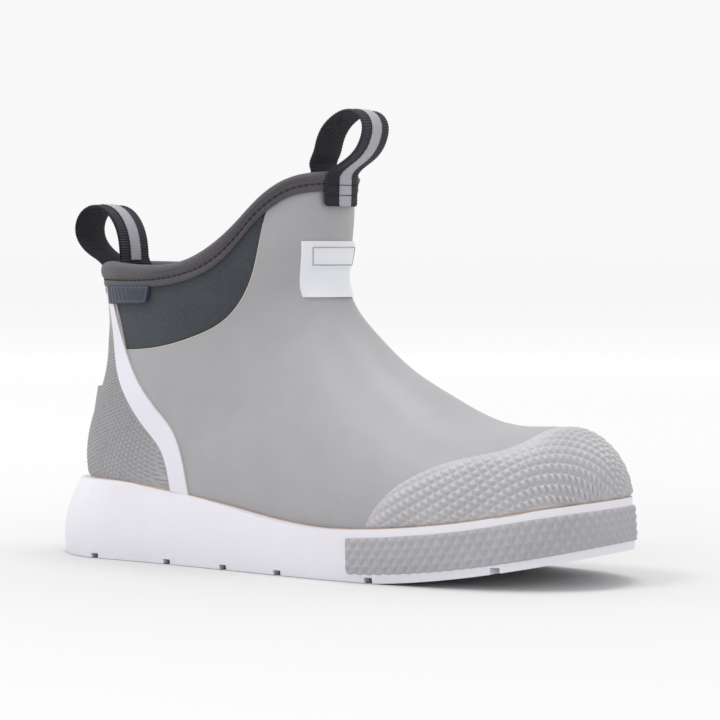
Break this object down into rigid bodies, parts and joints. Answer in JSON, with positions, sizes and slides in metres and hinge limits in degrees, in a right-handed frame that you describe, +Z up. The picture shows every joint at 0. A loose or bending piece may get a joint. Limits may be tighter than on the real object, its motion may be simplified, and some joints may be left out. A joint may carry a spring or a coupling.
{
  "type": "deck boot",
  "caption": "Ankle-height rubber deck boot for the right foot, with a cup sole, a textured toe bumper, a knitted collar binding and two webbing pull loops.",
  "frame": {"origin": "on the ground plane under the middle of the boot's overall box", "axes": "+X towards the toe, +Y towards the inner (medial) side of this right boot, +Z up"},
  "size_m": [0.2912, 0.1044, 0.2049],
  "materials": {
    "badge_rubber": "matte",
    "knit_binding": "knitted",
    "footbed_foam": "foam",
    "footbed_fabric": "knitted",
    "webbing": "woven",
    "reflective_tape": "satin",
    "stretch_fabric": "pebbled",
    "textured_rubber": "textured",
    "bumper_rubber": "textured",
    "stiffener_plastic": "matte",
    "shank_steel": "satin",
    "fibreboard": "matte",
    "white_rubber": "matte",
    "lining_fabric": "knitted",
    "neoprene": "foam",
    "outsole_rubber": "matte",
    "shell_rubber": "matte",
    "woven_label": "woven"
  },
  "bodies": {
    "boot": {"badge_panel": "badge_rubber", "collar_binding": "knit_binding", "footbed": "footbed_foam", "footbed_cover": "footbed_fabric", "front_badge": "badge_rubber", "front_loop_inner_end": "webbing", "front_loop_outer_end": "webbing", "front_patch_strip": "reflective_tape", "gusset_panel_lateral": "stretch_fabric", "gusset_panel_medial": "stretch_fabric", "heel_counter_cover": "textured_rubber", "heel_stiffener": "stiffener_plastic", "heel_stripe_lateral": "white_rubber", "heel_stripe_medial": "white_rubber", "insole_board": "fibreboard", "kick_tab": "textured_rubber", "mesh_lining": "lining_fabric", "midsole": "white_rubber", "neoprene_bootie": "neoprene", "outsole": "outsole_rubber", "rear_loop_inner_end": "webbing", "rear_loop_outer_end": "webbing", "rubber_shell": "shell_rubber", "shank": "shank_steel", "side_label": "woven_label", "toe_bumper": "bumper_rubber", "toe_cap": "textured_rubber", "toe_puff": "stiffener_plastic"},
    "front_pull": {"front_loop": "webbing", "front_reflective_strip": "reflective_tape"},
    "rear_pull": {"rear_loop": "webbing", "rear_reflective_strip": "reflective_tape"}
  },
  "joints": [
    {"name": "front_loop_swing", "type": "hinge", "parent": "boot", "child": "front_pull", "pos_m": [0.0005, 0, 0.1745], "axis": [-0.0698, 0.9976, 0], "range_deg": [-40, 40], "stiffness_Nm_per_rad": 0.02},
    {"name": "rear_loop_swing", "type": "hinge", "parent": "boot", "child": "rear_pull", "pos_m": [-0.118, 0, 0.1325], "axis": [-0.0698, 0.9976, 0], "range_deg": [-40, 28], "stiffness_Nm_per_rad": 0.02}
  ]
}
